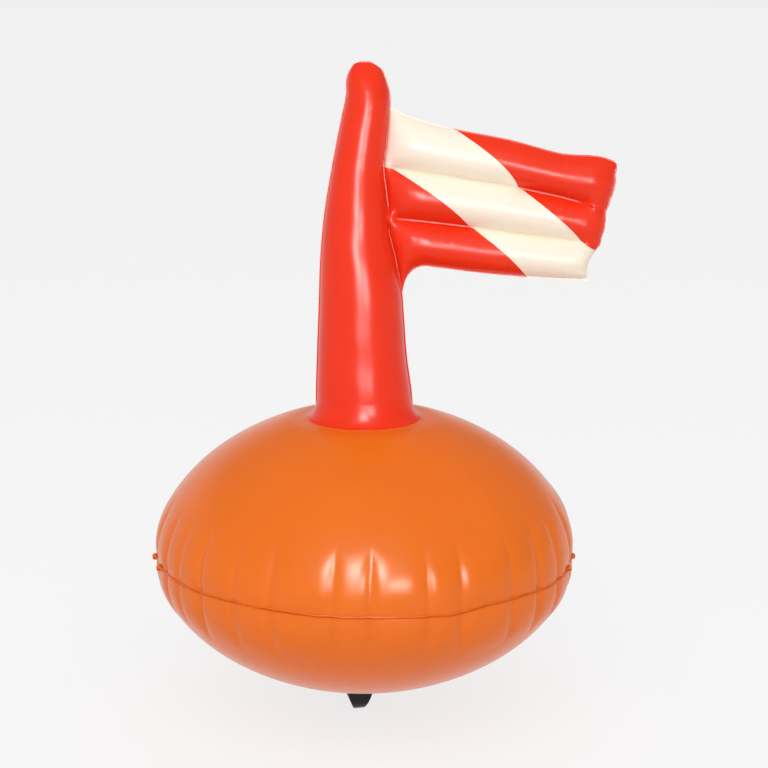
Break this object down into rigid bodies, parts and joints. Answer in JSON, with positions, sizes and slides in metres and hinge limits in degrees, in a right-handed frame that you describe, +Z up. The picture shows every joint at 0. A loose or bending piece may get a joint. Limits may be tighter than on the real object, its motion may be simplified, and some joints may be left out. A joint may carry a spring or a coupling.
{
  "type": "dive flag float",
  "caption": "Round inflatable dive float with an inflatable mast and diver-down flag, a plugged mouth valve and a moulded eye underneath for the diver's line.",
  "frame": {"origin": "centre of the eye in the lug under the float, where the diver's line is tied; the float's and the mast's own axis stands 6.5 mm from it towards +X", "axes": "+Z up, parallel to the float's and the mast's axis; +X the way the flag flies; +Y to the back, where the valve is"},
  "size_m": [0.3927, 0.3695, 0.5617],
  "materials": {
    "float_film": "satin-gloss orange PVC film, drawn into pleats at the weld",
    "flag_film": "glossy signal-red PVC film",
    "stripe_print": "white print on film",
    "valve_vinyl": "soft moulded PVC",
    "lug_rubber": "glossy black moulded soft PVC",
    "ballast_metal": "plain cast disc"
  },
  "bodies": {
    "float": {"upper_shell": "float_film", "lower_shell": "float_film", "mast_collar": "flag_film", "front_sheet": "flag_film", "back_sheet": "flag_film", "stripe_front": "stripe_print", "stripe_back": "stripe_print", "valve_body": "valve_vinyl", "line_lug": "lug_rubber", "ballast_weight": "ballast_metal", "ballast_pocket": "float_film"},
    "plug": {"valve_plug": "valve_vinyl"},
    "flap": {"valve_flap": "valve_vinyl"}
  },
  "joints": [
    {"name": "plug_swing", "type": "hinge", "parent": "float", "child": "plug", "pos_m": [0.0065, 0.10717, 0.245], "axis": [-1, 0, 0], "range_deg": [0, 150]},
    {"name": "flap_swing", "type": "hinge", "parent": "float", "child": "flap", "pos_m": [0.0065, 0.09484, 0.22554], "axis": [1, 0, 0], "range_deg": [0, 35], "stiffness_Nm_per_rad": 0.0002, "springref_deg": -17.19}
  ]
}
